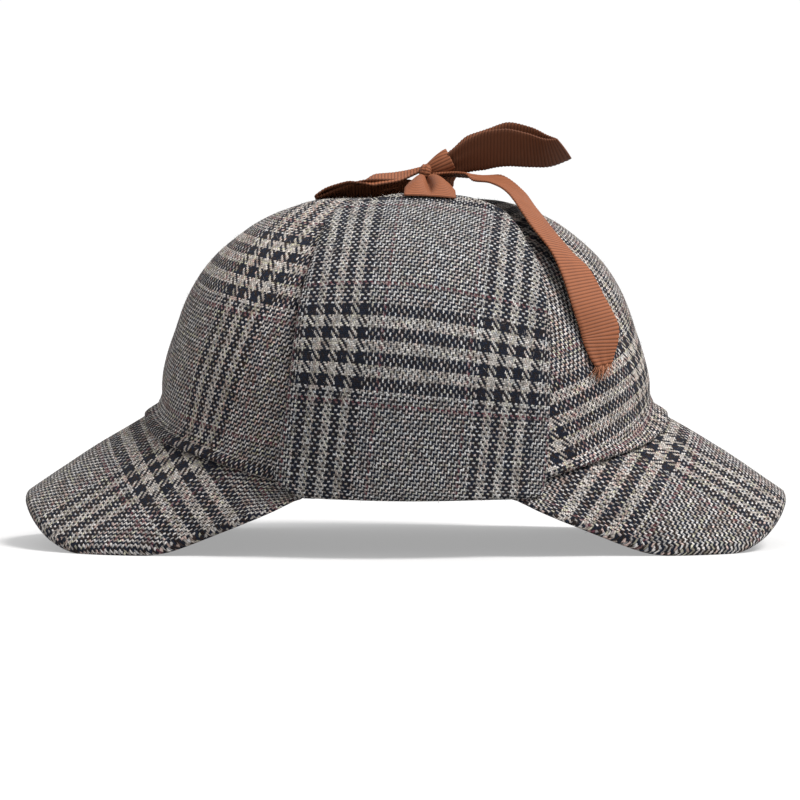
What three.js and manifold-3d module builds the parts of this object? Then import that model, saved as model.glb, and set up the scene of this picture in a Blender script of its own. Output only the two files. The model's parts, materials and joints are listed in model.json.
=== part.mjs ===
// A deerstalker hat lying on its two peaks, in millimetres, +Z up.
// Front is -X, the near side is -Y, and the floor under the peaks is z = 0.
import * as THREE from 'three';
import { mergeVertices } from 'three/addons/utils/BufferGeometryUtils.js';
import Module from 'manifold-3d';

// Crown: six cloth gores that meet at the top
const crownHalfLength = 94.5;
const crownHalfWidth = 80.5;
const crownTop = 133;
const crownWaist = 60;          // height at which the wall stands upright
const clothWall = 2.4;
const gorePuff = 1.1;           // how far a gore swells between its seams
const goreCount = 6;
const frontHem = 49.5;          // height of the crown's lower edge at the front and back
const lipFlare = 8;             // the lower edge turns out above each peak
const lipHeight = 10;
const apexRadius = 1;

// Peaks, front and back alike
const peakReach = 46.5;
const peakThickness = 4;
const peakFoot = 2.4;           // width of the rim's pressed underside
const peakEnd = 63.75;          // bearing of a peak's tip, from the front

// Ear flaps, folded up against the side gores
const flapHalfWidth = 51;
const flapThickness = 3.4;
const flapBottomTurn = -25;
const flapTopTurn = 71;
const flapEdgeShare = 0.5;      // thickness left at the rounded edge

// Ribbon and its bow
const ribbonWidth = 15.5;
const ribbonThickness = 0.9;
const knotX = 9;
const knotRise = 11.5;          // the knot's centre above the crown's top
const knotRadius = 5.8;
const backLoopReach = 55.5;
const frontLoopReach = 45;
const loopDepth = 8.5;
const frontLoopDepth = 10;
const ribbonLift = 10;

const gap = 0.3;                // between pieces that touch
const flapClearance = 0.65;     // between a flap and the curved crown behind it

const goreColumns = 8;
const goreRows = 13;
const peakSteps = 5;
const flapColumns = 10;
const flapRows = 18;
const ribbonSteps = 2;          // steps between two rows of a ribbon's table

// How full the crown's outline is at each turn up from the waist: 2 is an ellipse
const crownFullness = [
  { turn: 0, length: 1.8, width: 2.1 },
  { turn: 12, length: 1.85, width: 2.1 },
  { turn: 20, length: 2.04, width: 2.1 },
  { turn: 28, length: 2.22, width: 2.12 },
  { turn: 37, length: 2.36, width: 2.12 },
  { turn: 46, length: 2.48, width: 2.1 },
  { turn: 53, length: 2.62, width: 2.1 },
  { turn: 60, length: 2.9, width: 2.1 },
  { turn: 66, length: 3.6, width: 2.1 },
  { turn: 75, length: 4.6, width: 2.2 },
  { turn: 90, length: 5, width: 2.2 },
];

// The crown's lower edge, by bearing from the front or back, as a share of frontHem
const hemTable = [
  { bearing: 0, height: 1 },
  { bearing: 8, height: 0.93 },
  { bearing: 20, height: 0.82 },
  { bearing: 32, height: 0.73 },
  { bearing: 42, height: 0.655 },
  { bearing: 52, height: 0.575 },
  { bearing: 62, height: 0.51 },
  { bearing: 75, height: 0.485 },
  { bearing: 90, height: 0.485 },
];

// A peak's rim: reach as a share of peakReach, spread and foot height as shares of
// crownHalfWidth and frontHem
const rimTable = [
  { bearing: 0, reach: 1, spread: 0, foot: 0.33 },
  { bearing: 7.5, reach: 0.976, spread: 0.075, foot: 0.29 },
  { bearing: 15, reach: 0.955, spread: 0.1, foot: 0.19 },
  { bearing: 22.5, reach: 0.94, spread: 0.11, foot: 0.085 },
  { bearing: 30, reach: 0.925, spread: 0.1, foot: 0.012 },
  { bearing: 37.5, reach: 0.9, spread: 0.082, foot: 0 },
  { bearing: 45, reach: 0.85, spread: 0.056, foot: 0 },
  { bearing: 52.5, reach: 0.69, spread: 0.012, foot: 0.03 },
  { bearing: 56.25, reach: 0.43, spread: -0.028, foot: 0.145 },
  { bearing: 60, reach: 0.21, spread: -0.056, foot: 0.24 },
  { bearing: 63.75, reach: 0.075, spread: -0.035, foot: 0.34 },
];

// A flap's side edges, from its bottom fold up and over the crown, as shares of flapHalfWidth
const flapTable = [
  { rise: 0, front: 0.725, back: 0.83 },
  { rise: 0.025, front: 0.9, back: 0.915 },
  { rise: 0.06, front: 0.92, back: 0.965 },
  { rise: 0.12, front: 0.875, back: 0.985 },
  { rise: 0.32, front: 0.805, back: 1 },
  { rise: 0.52, front: 0.745, back: 1 },
  { rise: 0.6, front: 0.706, back: 0.97 },
  { rise: 0.69, front: 0.65, back: 0.93 },
  { rise: 0.76, front: 0.608, back: 0.87 },
  { rise: 0.885, front: 0.53, back: 0.76 },
  { rise: 0.93, front: 0.4, back: 0.67 },
  { rise: 0.97, front: 0.18, back: 0.51 },
  { rise: 1, front: -0.04, back: 0.31 },
];

// Ribbons that follow the crown: bearing from +X and turn up from the waist in degrees,
// lift as a share of ribbonLift, wide as a share of ribbonWidth
const tieTable = [
  { bearing: 74.7, turn: 64, lift: 0.49, wide: 1.22 },
  { bearing: 70, turn: 70, lift: 0.5, wide: 1.2 },
  { bearing: 59, turn: 77, lift: 0.6, wide: 0.86 },
  { bearing: 29, turn: 83, lift: 0.88, wide: 0.36 },
];
const nearTailTable = [
  { bearing: 10, turn: 80, lift: 0.88, wide: 0.4 },
  { bearing: 13, turn: 74.7, lift: 0.95, wide: 0.62 },
  { bearing: 15, turn: 69.5, lift: 0.98, wide: 0.85 },
  { bearing: 20, turn: 63, lift: 1, wide: 1 },
  { bearing: 26.3, turn: 55.8, lift: 0.7, wide: 1 },
  { bearing: 34, turn: 43, lift: 0.42, wide: 1 },
  { bearing: 34.5, turn: 30.5, lift: 0.17, wide: 1 },
  { bearing: 33.5, turn: 18.5, lift: 0.11, wide: 1 },
  { bearing: 33.3, turn: 9.5, lift: 0.1, wide: 0.95 },
  { bearing: 33.4, turn: 5.4, lift: 0.1, wide: 0.45 },
];
const farTailTable = [
  { bearing: -15, turn: 85.5, lift: 0.77, wide: 0.36 },
  { bearing: -117, turn: 84, lift: 0.37, wide: 0.62 },
  { bearing: -119, turn: 74.5, lift: 0.38, wide: 0.85 },
  { bearing: -119, turn: 63.5, lift: 0.56, wide: 1 },
  { bearing: -118, turn: 50, lift: 0.54, wide: 1 },
  { bearing: -117, turn: 37, lift: 0.53, wide: 1 },
  { bearing: -116, turn: 24, lift: 0.53, wide: 1 },
  { bearing: -115, turn: 13, lift: 0.53, wide: 0.95 },
  { bearing: -115, turn: 8, lift: 0.53, wide: 0.45 },
];

// Bow loops from the knot out and back: along as a share of the loop's reach, depth of its
// depth, rise and wide of ribbonWidth, lean in degrees from upright
const backLoopTable = [
  { along: 0.05, depth: -0.1, rise: 0.1, wide: 0.42, lean: 8 },
  { along: 0.25, depth: -0.5, rise: 0.36, wide: 0.8, lean: 18 },
  { along: 0.45, depth: -0.85, rise: 0.5, wide: 0.97, lean: 26 },
  { along: 0.62, depth: -0.95, rise: 0.52, wide: 1, lean: 30 },
  { along: 0.8, depth: -0.8, rise: 0.42, wide: 1, lean: 34 },
  { along: 0.93, depth: -0.35, rise: 0.36, wide: 1, lean: 50 },
  { along: 0.985, depth: 0.1, rise: 0.38, wide: 1, lean: 58 },
  { along: 0.93, depth: 0.5, rise: 0.5, wide: 1, lean: 40 },
  { along: 0.8, depth: 0.62, rise: 0.62, wide: 1, lean: 22 },
  { along: 0.62, depth: 0.6, rise: 0.68, wide: 1, lean: 12 },
  { along: 0.45, depth: 0.55, rise: 0.62, wide: 0.97, lean: 8 },
  { along: 0.25, depth: 0.38, rise: 0.46, wide: 0.8, lean: 4 },
  { along: 0.05, depth: 0.15, rise: 0.2, wide: 0.42, lean: 0 },
];
const frontLoopTable = [
  { along: 0.05, depth: 0, rise: 0.14, wide: 0.36, lean: 84 },
  { along: 0.3, depth: 0.12, rise: -0.06, wide: 0.8, lean: 80 },
  { along: 0.52, depth: 0.25, rise: -0.18, wide: 0.97, lean: 78 },
  { along: 0.74, depth: 0.42, rise: -0.28, wide: 1, lean: 80 },
  { along: 0.91, depth: 0.6, rise: -0.42, wide: 1, lean: 84 },
  { along: 0.985, depth: 0.72, rise: -0.54, wide: 1, lean: 88 },
  { along: 0.91, depth: 0.72, rise: -0.625, wide: 1, lean: 92 },
  { along: 0.74, depth: 0.6, rise: -0.61, wide: 1, lean: 90 },
  { along: 0.52, depth: 0.4, rise: -0.5, wide: 0.97, lean: 88 },
  { along: 0.3, depth: 0.2, rise: -0.28, wide: 0.8, lean: 86 },
  { along: 0.05, depth: -0.02, rise: -0.06, wide: 0.36, lean: 84 },
];

// The lip fades out at the side gores' seams
const sideShare = Math.cos(Math.PI / goreCount * 2) ** 2;

const crownCentre = new THREE.Vector3(0, 0, crownWaist);
const knotCentre = new THREE.Vector3(knotX, 0, crownTop + knotRise);
const radians = THREE.MathUtils.degToRad;

// Reads one column of a table as a smooth curve over another column, level at both ends
function smoothColumn(table, key, column) {
  const slope = (i) => {
    if (i === 0 || i === table.length - 1) return 0;
    const before = table[i - 1];
    const after = table[i + 1];
    return (after[column] - before[column]) / (after[key] - before[key]);
  };
  return (at) => {
    let i = 0;
    while (i < table.length - 2 && at > table[i + 1][key]) i += 1;
    const low = table[i];
    const high = table[i + 1];
    const span = high[key] - low[key];
    const t = THREE.MathUtils.clamp((at - low[key]) / span, 0, 1);
    const bend = t * (1 - t);
    const ease = t * t * (3 - 2 * t);
    const pull = bend * ((1 - t) * slope(i) - t * slope(i + 1)) * span;
    return low[column] + (high[column] - low[column]) * ease + pull;
  };
}

const lengthFullness = smoothColumn(crownFullness, 'turn', 'length');
const widthFullness = smoothColumn(crownFullness, 'turn', 'width');
const hemShare = smoothColumn(hemTable, 'bearing', 'height');
const rimReach = smoothColumn(rimTable, 'bearing', 'reach');
const rimSpread = smoothColumn(rimTable, 'bearing', 'spread');
const rimFoot = smoothColumn(rimTable, 'bearing', 'foot');
const flapFront = smoothColumn(flapTable, 'rise', 'front');
const flapBack = smoothColumn(flapTable, 'rise', 'back');

// Distance from the crown's centre to one side outline at a turn above or below the waist
function outlineRadius(turn, half, fullness) {
  if (turn <= 0) return half / Math.cos(turn);
  const flat = Math.cos(turn) / half;
  const tall = Math.sin(turn) / (crownTop - crownWaist);
  return (flat ** fullness + tall ** fullness) ** (-1 / fullness);
}

// Distance from the crown's centre to its skin in a given direction
function skinRadius(direction) {
  const turn = Math.atan2(direction.z, Math.hypot(direction.x, direction.y));
  const bearing = Math.atan2(direction.y, direction.x);
  const degrees = Math.max(turn, 0) * THREE.MathUtils.RAD2DEG;
  const lengthwise = outlineRadius(turn, crownHalfLength, lengthFullness(degrees));
  const crosswise = outlineRadius(turn, crownHalfWidth, widthFullness(degrees));
  const inverse = Math.hypot(Math.cos(bearing) / lengthwise, Math.sin(bearing) / crosswise);
  const swell = Math.sin(bearing * goreCount / 2) ** 2 * Math.cos(turn) * gorePuff;
  return 1 / inverse + swell;
}

function towards(bearing, turn) {
  const level = Math.cos(turn);
  return new THREE.Vector3(level * Math.cos(bearing), level * Math.sin(bearing), Math.sin(turn));
}

function skinPoint(direction) {
  return direction.clone().multiplyScalar(skinRadius(direction)).add(crownCentre);
}

// Outward normal of the crown's skin
function skinNormal(direction) {
  const step = 0.01;
  const side = new THREE.Vector3(-direction.y, direction.x, 0);
  if (side.length() < 1e-6) return new THREE.Vector3(0, 0, 1);
  side.normalize();
  const rise = direction.clone().cross(side);
  const probe = (axis, by) => skinPoint(direction.clone().addScaledVector(axis, by).normalize());
  const along = probe(side, step).sub(probe(side, -step));
  const up = probe(rise, step).sub(probe(rise, -step));
  const normal = along.cross(up).normalize();
  return normal.dot(direction) < 0 ? normal.negate() : normal;
}

// Bearing from the nearer of front and back, in degrees from 0 to 90
function fromEnd(bearing) {
  return Math.acos(Math.min(Math.abs(Math.cos(bearing)), 1)) * THREE.MathUtils.RAD2DEG;
}

function hemHeight(bearing) {
  return frontHem * hemShare(fromEnd(bearing));
}

function hemTurn(bearing) {
  const level = new THREE.Vector3(Math.cos(bearing), Math.sin(bearing), 0);
  return Math.atan2(hemHeight(bearing) - crownWaist, skinRadius(level));
}

// A point on the crown with its flared lip, inset along the normal by some depth
function crownPoint(bearing, turn, inset) {
  const direction = towards(bearing, turn);
  const point = skinPoint(direction).addScaledVector(skinNormal(direction), -inset);
  const above = Math.max(point.z - hemHeight(bearing), 0);
  const near = Math.max(1 - above / lipHeight, 0);
  const facing = Math.max((Math.cos(bearing) ** 2 - sideShare) / (1 - sideShare), 0);
  const flare = lipFlare * facing ** 1.5 * near * near;
  return point.add(new THREE.Vector3(Math.cos(bearing), Math.sin(bearing), 0).multiplyScalar(flare));
}

// A closed mesh from rings of points, each ring closed on itself, with flat end caps
function meshFromRings(rings) {
  const size = rings[0].length;
  const points = rings.flat();
  const faces = [];
  for (let i = 0; i < rings.length - 1; i += 1) {
    for (let j = 0; j < size; j += 1) {
      const next = (j + 1) % size;
      const a = i * size + j;
      const b = i * size + next;
      faces.push(a, b, b + size, a, b + size, a + size);
    }
  }
  const last = (rings.length - 1) * size;
  for (let j = 0; j < size / 2 - 1; j += 1) {
    const k = size - 1 - j;
    faces.push(j, k, k - 1, j, k - 1, j + 1);
    faces.push(last + j, last + k - 1, last + k, last + j, last + j + 1, last + k - 1);
  }
  return outwardGeometry(points, faces);
}

// A closed wall between an outer and an inner grid of points
function meshFromWalls(outer, inner) {
  return meshFromRings(outer.map((row, i) => [...row, ...[...inner[i]].reverse()]));
}

function outwardGeometry(points, faces) {
  let volume = 0;
  for (let i = 0; i < faces.length; i += 3) {
    const [a, b, c] = faces.slice(i, i + 3).map((k) => points[k]);
    volume += a.dot(b.clone().cross(c));
  }
  if (volume < 0) faces.reverse();
  const geometry = new THREE.BufferGeometry();
  geometry.setAttribute('position', new THREE.Float32BufferAttribute(points.flatMap((p) => p.toArray()), 3));
  geometry.setIndex(faces);
  geometry.computeVertexNormals();
  return geometry;
}

// One gore between two seams
function goreGeometry(index) {
  const first = index * 2 * Math.PI / goreCount;
  const spread = 2 * Math.PI / goreCount;
  const lastTurn = Math.PI / 2 - apexRadius / (crownTop - crownWaist);
  const grid = (inset) => Array.from({ length: goreRows + 1 }, (_, row) => (
    Array.from({ length: goreColumns + 1 }, (__, column) => {
      const middle = first + spread * column / goreColumns;
      const start = hemTurn(middle);
      const turn = start + (lastTurn - start) * (row / goreRows) ** 1.3;
      const girth = skinRadius(towards(middle, turn)) * Math.cos(turn);
      const trim = gap / 2 / girth * (1 - 2 * column / goreColumns);
      return crownPoint(middle + trim, turn, inset);
    })
  ));
  return meshFromWalls(grid(0), grid(clothWall));
}

// A peak: one section for each bearing, from under the crown's edge out to the rim
function peakGeometry(facing) {
  const step = 360 / goreCount / goreColumns;
  const bearings = [];
  for (let at = 0; at < 52; at += step) bearings.push(at);
  for (let at = 52.5; at <= peakEnd; at += step / 2) bearings.push(at);
  const rings = [...bearings.slice(1).reverse().map((at) => -at), ...bearings].map((at) => {
    const bearing = facing + radians(at);
    const end = Math.abs(at);
    const hem = hemTurn(bearing);
    const inner = crownPoint(bearing, hem, clothWall);
    const seam = crownPoint(bearing, hem, 0);
    const height = hemHeight(bearing) - gap;
    inner.z = height;
    seam.z = height;
    const forward = Math.cos(facing);
    const outward = new THREE.Vector3(
      forward * rimReach(end) * peakReach,
      Math.sign(seam.y) * rimSpread(end) * crownHalfWidth,
      0,
    );
    const foot = Math.max(rimFoot(end), 0) * frontHem;
    const rim = seam.clone().add(outward);
    const top = [inner];
    for (let i = 0; i <= peakSteps; i += 1) {
      const share = i / (peakSteps + 0.35);
      const point = seam.clone().lerp(rim, share);
      point.z = THREE.MathUtils.lerp(height, foot + peakThickness, share);
      top.push(point);
    }
    const edge = rim.clone().setZ(foot + peakThickness * 0.5);
    const inwards = outward.clone().normalize();
    const footOuter = rim.clone().addScaledVector(inwards, -peakThickness * 0.22).setZ(foot);
    const footInner = footOuter.clone().addScaledVector(inwards, -peakFoot).setZ(foot);
    const under = [edge, footOuter, footInner];
    for (let i = peakSteps - 1; i >= 1; i -= 1) {
      const share = i / (peakSteps + 0.35);
      const point = inner.clone().lerp(footInner, share);
      point.z = THREE.MathUtils.lerp(height - peakThickness, foot, share);
      under.push(point);
    }
    under.push(inner.clone().setZ(height - peakThickness));
    return [...top, ...under];
  });
  return meshFromRings(rings);
}

// A point of a flap: x across it, at a turn up the crown's side, lifted off the skin
function flapPoint(x, turn, lift, side) {
  let radius = crownHalfWidth;
  const direction = new THREE.Vector3();
  for (let i = 0; i < 12; i += 1) {
    const share = THREE.MathUtils.clamp(x / radius, -0.95, 0.95);
    direction.set(share, side * Math.cos(turn), Math.sin(turn));
    if (turn < 0) {
      const wall = Math.sqrt(1 - (x / crownHalfLength) ** 2);
      direction.set(x, side * crownHalfWidth * wall, crownHalfWidth * Math.tan(turn));
    }
    const length = direction.length();
    direction.normalize();
    radius = skinRadius(direction) / (turn < 0 ? 1 : length);
  }
  return skinPoint(direction).addScaledVector(skinNormal(direction), lift);
}

// A flap: a flat pad with rounded edges that follows the side gore up over the crown
function flapGeometry(side) {
  const grid = (outerSide) => Array.from({ length: flapRows + 1 }, (_, row) => (
    Array.from({ length: flapColumns + 1 }, (__, column) => {
      const rise = 0.5 - 0.5 * Math.cos(Math.PI * (0.1 + 0.9 * row / flapRows));
      const start = 0.5 - 0.5 * Math.cos(Math.PI * 0.1);
      const share = (rise - start) / (1 - start);
      const turn = radians(THREE.MathUtils.lerp(flapBottomTurn, flapTopTurn, share));
      const across = 0.5 - 0.5 * Math.cos(Math.PI * (0.12 + 0.76 * column / flapColumns));
      const first = 0.5 - 0.5 * Math.cos(Math.PI * 0.12);
      const along = (across - first) / (1 - 2 * first);
      const x = THREE.MathUtils.lerp(-flapFront(share), flapBack(share), along) * flapHalfWidth;
      const onEdge = row === 0 || row === flapRows || column === 0 || column === flapColumns;
      const thickness = flapThickness * (onEdge ? flapEdgeShare : 1);
      return flapPoint(x, turn, flapClearance + (outerSide ? thickness : 0), side);
    })
  ));
  return meshFromWalls(grid(true), grid(false));
}

// A ribbon from sections that hold a middle point, a direction across and a width
function ribbonGeometry(sections, crease) {
  const path = new THREE.CatmullRomCurve3(sections.map((s) => s.middle), false, 'centripetal');
  const across = new THREE.CatmullRomCurve3(sections.map((s) => s.across), false, 'centripetal');
  const count = (sections.length - 1) * ribbonSteps;
  const face = (sign) => Array.from({ length: count + 1 }, (_, i) => {
    const t = i / count;
    const middle = path.getPoint(t);
    const sideways = across.getPoint(t).normalize();
    const normal = path.getTangent(t).cross(sideways).normalize();
    const low = Math.min(Math.floor(t * (sections.length - 1)), sections.length - 2);
    const share = t * (sections.length - 1) - low;
    const wide = THREE.MathUtils.lerp(sections[low].wide, sections[low + 1].wide, share) * ribbonWidth;
    return [-0.5, -0.25, 0, 0.25, 0.5].map((place) => {
      const fold = crease * (1 - Math.abs(place) * 4);
      return middle.clone()
        .addScaledVector(sideways, place * wide)
        .addScaledVector(normal, sign * ribbonThickness / 2 + fold);
    });
  });
  return meshFromWalls(face(1), face(-1));
}

// Sections that follow the crown's skin; side -1 is the near side
function sectionsOverCrown(table, side) {
  const places = table.map((row) => {
    const direction = towards(side * radians(row.bearing), radians(row.turn));
    const normal = skinNormal(direction);
    return { normal, wide: row.wide, middle: skinPoint(direction).addScaledVector(normal, row.lift * ribbonLift) };
  });
  return places.map((place, i) => {
    const before = places[Math.max(i - 1, 0)].middle;
    const after = places[Math.min(i + 1, places.length - 1)].middle;
    const across = place.normal.clone().cross(after.clone().sub(before)).normalize();
    return { middle: place.middle, across, wide: place.wide };
  });
}

// Sections of a bow loop; facing 1 is the back loop
function sectionsOfLoop(table, facing, reach, depth) {
  return table.map((row) => {
    const offset = new THREE.Vector3(
      facing * row.along * reach,
      row.depth * depth,
      row.rise * ribbonWidth,
    );
    const lean = radians(row.lean);
    const across = new THREE.Vector3(0, Math.sin(lean), Math.cos(lean));
    return { middle: knotCentre.clone().add(offset), across, wide: row.wide };
  });
}

function knotGeometry(grow) {
  const knot = new THREE.SphereGeometry(1, 12, 8);
  knot.rotateX(Math.PI / 2);
  knot.scale(knotRadius + grow, knotRadius * 0.98 + grow, knotRadius * 0.86 + grow);
  knot.translate(...knotCentre.toArray());
  return knot;
}

const wasm = await Module();
wasm.setup();

function toSolid(geometry) {
  const bare = geometry.clone();
  bare.deleteAttribute('normal');
  bare.deleteAttribute('uv');
  const merged = mergeVertices(bare, 1e-4);
  return new wasm.Manifold(new wasm.Mesh({
    numProp: 3,
    vertProperties: new Float32Array(merged.attributes.position.array),
    triVerts: new Uint32Array(merged.index.array),
  }));
}

function fromSolid(solid) {
  const mesh = solid.getMesh();
  const geometry = new THREE.BufferGeometry();
  geometry.setAttribute('position', new THREE.BufferAttribute(mesh.vertProperties, 3));
  geometry.setIndex(new THREE.BufferAttribute(mesh.triVerts, 1));
  geometry.computeVertexNormals();
  return geometry;
}

// A ribbon ends just short of the knot that ties it
function tied(geometry) {
  return fromSolid(toSolid(geometry).subtract(toSolid(knotGeometry(gap))));
}

const tweed = { color: 0x75695c, roughness: 0.95, metalness: 0 };
const grosgrain = { color: 0xa4603c, roughness: 0.6, metalness: 0 };

const hat = new THREE.Group();

function addPiece(name, geometry, look) {
  const mesh = new THREE.Mesh(geometry, new THREE.MeshStandardMaterial(look));
  mesh.name = name;
  hat.add(mesh);
}

const goreNames = ['back_far', 'side_far', 'front_far', 'front_near', 'side_near', 'back_near'];
goreNames.forEach((name, index) => addPiece(`crown_gore_${name}`, goreGeometry(index), tweed));
addPiece('front_peak', peakGeometry(Math.PI), tweed);
addPiece('back_peak', peakGeometry(0), tweed);
addPiece('near_ear_flap', flapGeometry(-1), tweed);
addPiece('far_ear_flap', flapGeometry(1), tweed);

addPiece('ribbon_knot', knotGeometry(0), grosgrain);
addPiece('near_tie', tied(ribbonGeometry(sectionsOverCrown(tieTable, -1), 0)), grosgrain);
addPiece('far_tie', tied(ribbonGeometry(sectionsOverCrown(tieTable, 1), 0)), grosgrain);
const backLoop = sectionsOfLoop(backLoopTable, 1, backLoopReach, loopDepth);
addPiece('back_bow_loop', tied(ribbonGeometry(backLoop, 0)), grosgrain);
const frontLoop = sectionsOfLoop(frontLoopTable, -1, frontLoopReach, frontLoopDepth);
addPiece('front_bow_loop', tied(ribbonGeometry(frontLoop, 0)), grosgrain);
addPiece('near_tail', tied(ribbonGeometry(sectionsOverCrown(nearTailTable, -1), 0)), grosgrain);
addPiece('far_tail', tied(ribbonGeometry(sectionsOverCrown(farTailTable, -1), 0)), grosgrain);

export default hat;
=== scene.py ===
# A checked wool deerstalker with its ear flaps tied up over the crown, dressed over its solids.
# Lengths are in millimetres until meshPiece turns them into metres. Front is -X, near is -Y.
import json
import math
import random

import bpy
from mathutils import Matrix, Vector, noise

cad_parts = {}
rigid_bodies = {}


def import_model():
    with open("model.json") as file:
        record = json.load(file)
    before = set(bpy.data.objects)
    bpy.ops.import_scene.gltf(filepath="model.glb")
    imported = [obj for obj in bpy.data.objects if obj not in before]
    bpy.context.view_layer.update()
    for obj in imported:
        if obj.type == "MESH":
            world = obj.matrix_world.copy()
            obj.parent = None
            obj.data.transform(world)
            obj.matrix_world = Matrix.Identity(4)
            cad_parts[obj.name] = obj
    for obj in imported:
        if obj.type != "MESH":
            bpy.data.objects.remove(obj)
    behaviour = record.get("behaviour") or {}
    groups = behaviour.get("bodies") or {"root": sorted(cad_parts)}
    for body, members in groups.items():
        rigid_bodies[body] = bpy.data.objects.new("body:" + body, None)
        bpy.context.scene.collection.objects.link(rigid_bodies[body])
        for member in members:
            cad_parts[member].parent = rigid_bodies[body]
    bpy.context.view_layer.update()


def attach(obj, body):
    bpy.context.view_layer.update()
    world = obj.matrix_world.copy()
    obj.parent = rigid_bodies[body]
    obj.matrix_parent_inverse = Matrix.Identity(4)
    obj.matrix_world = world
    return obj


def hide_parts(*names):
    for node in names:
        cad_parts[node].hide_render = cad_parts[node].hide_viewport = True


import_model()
millimetre = 0.001

# Sizes that the crown, peaks, flaps and ribbon share
hat = dict(
    crownHalfLength=94.5,
    crownHalfWidth=80.5,
    crownTop=133.0,
    crownWaist=60.0,
    clothWall=2.4,
    gorePuff=1.1,
    goreCount=6,
    frontHem=49.5,
    lipFlare=8.0,
    lipHeight=10.0,
    peakReach=46.5,
    peakThickness=4.0,
    peakEnd=63.75,
    flapHalfWidth=51.0,
    flapThickness=3.4,
    flapBottomTurn=-25.0,
    flapTopTurn=71.0,
    flapClearance=0.65,
    ribbonWidth=15.5,
    ribbonLift=10.0,
    ribPitch=1.3,
    knotX=9.0,
    knotRise=11.5,
    backLoopReach=55.5,
    frontLoopReach=45.0,
    loopDepth=8.5,
    frontLoopDepth=10.0,
)


def table(columns, *rows):
    names = columns.split()
    return [dict(zip(names, row)) for row in rows]


# How full the crown's outline is at each turn up from the waist: 2 is an ellipse
crownFullness = table(
    "turn length width",
    (0, 1.8, 2.1), (12, 1.85, 2.1), (20, 2.04, 2.1), (28, 2.22, 2.12), (37, 2.36, 2.12), (46, 2.48, 2.1),
    (53, 2.62, 2.1), (60, 2.9, 2.1), (66, 3.6, 2.1), (75, 4.6, 2.2), (90, 5, 2.2),
)
# The crown's lower edge as a share of frontHem, by bearing from the front or back
hemTable = table(
    "bearing height",
    (0, 1), (8, 0.93), (20, 0.82), (32, 0.73), (42, 0.655), (52, 0.575), (62, 0.51), (75, 0.485), (90, 0.485),
)
# A peak's rim: shares of peakReach, crownHalfWidth and frontHem
rimTable = table(
    "bearing reach spread foot",
    (0, 1, 0, 0.33), (7.5, 0.976, 0.075, 0.29), (15, 0.955, 0.1, 0.19), (22.5, 0.94, 0.11, 0.085),
    (30, 0.925, 0.1, 0.012), (37.5, 0.9, 0.082, 0), (45, 0.85, 0.056, 0), (49, 0.77, 0.03, 0.015),
    (52.5, 0.69, 0.012, 0.06), (56.25, 0.43, -0.028, 0.2), (60, 0.21, -0.056, 0.33),
    (63.75, 0.075, -0.035, 0.43),
)
# A flap's side edges from its bottom fold up and over, as shares of flapHalfWidth
flapTable = table(
    "rise front back",
    (0, 0.76, 0.94), (0.025, 0.89, 0.965), (0.06, 0.915, 0.985), (0.12, 0.875, 0.99), (0.32, 0.805, 1),
    (0.52, 0.745, 1), (0.6, 0.706, 0.97), (0.69, 0.65, 0.93), (0.76, 0.608, 0.87), (0.885, 0.53, 0.76),
    (0.93, 0.4, 0.67), (0.97, 0.18, 0.51), (1, -0.04, 0.31),
)
# Ribbons over the crown: bearing and turn in degrees, then shares of ribbonLift and ribbonWidth
tieTable = table(
    "bearing turn lift wide",
    (74.7, 64, 0.49, 1.22), (70, 70, 0.52, 1.2), (59, 77, 0.62, 0.92), (33, 82.5, 0.72, 0.4),
)
# The near tail: places of its middle line in millimetres, and where its face looks (bearing and turn)
nearTailTable = table(
    "x y z wide bearing turn",
    (10.9, -1, 142, 0.34, 90, 86), (19.8, -4, 142.1, 0.7, 90, 84), (26.2, -7, 141.5, 0.92, 90, 84),
    (31.2, -10.5, 140.6, 1, -80, 76), (38.3, -18, 137, 1, -30, 66), (44, -30, 131, 1, 15, 68),
    (51.6, -40, 119.8, 1, -22, 58), (57.6, -45.5, 112, 1, -30, 44), (62.6, -49, 104.6, 1, -46, 30),
    (67.2, -52.6, 93.5, 1, -56, 16), (71.6, -53.6, 82.4, 1, -68, 10), (71.9, -54.4, 77.6, 0.87, -68, 8),
    (72.3, -54.8, 72.8, 0.64, -66, 8), (73, -54.8, 69.6, 0.44, -64, 8),
)
farTailTable = table(
    "bearing turn lift wide",
    (-15, 85.5, 0.77, 0.36), (-117, 84, 0.37, 0.62), (-119, 74.5, 0.38, 0.85), (-119, 63.5, 0.56, 1),
    (-118, 50, 0.54, 1), (-117, 37, 0.53, 1), (-116, 24, 0.53, 1), (-115, 13, 0.53, 0.95),
    (-115, 8, 0.53, 0.45),
)
# Bow loops out and back: shares of the loop's reach and depth and of ribbonWidth, then how far the
# ribbon leans from upright and how far it slants along the loop
backLoopTable = table(
    "along depth rise wide lean slant",
    (0.06, -0.1, -0.02, 0.4, -10, 0), (0.16, -0.3, 0.13, 0.62, -18, 0), (0.27, -0.45, 0.31, 0.86, -24, 0),
    (0.385, -0.55, 0.425, 1, -26, 0), (0.53, -0.6, 0.5, 1, -30, 0), (0.69, -0.45, 0.44, 1, -40, 4),
    (0.83, -0.26, 0.385, 1, -52, 11), (0.94, -0.1, 0.495, 1, -63, 23), (0.845, 0.05, 0.47, 1, -47, 10),
    (0.705, 0.3, 0.57, 1, -24, 0), (0.55, 0.45, 0.655, 1, -8, 0), (0.4, 0.5, 0.5, 0.97, 0, 0),
    (0.26, 0.4, 0.4, 0.8, 0, 0), (0.16, 0.2, 0.2, 0.55, 0, 0), (0.06, 0.05, 0.04, 0.36, 0, 0),
)
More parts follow.
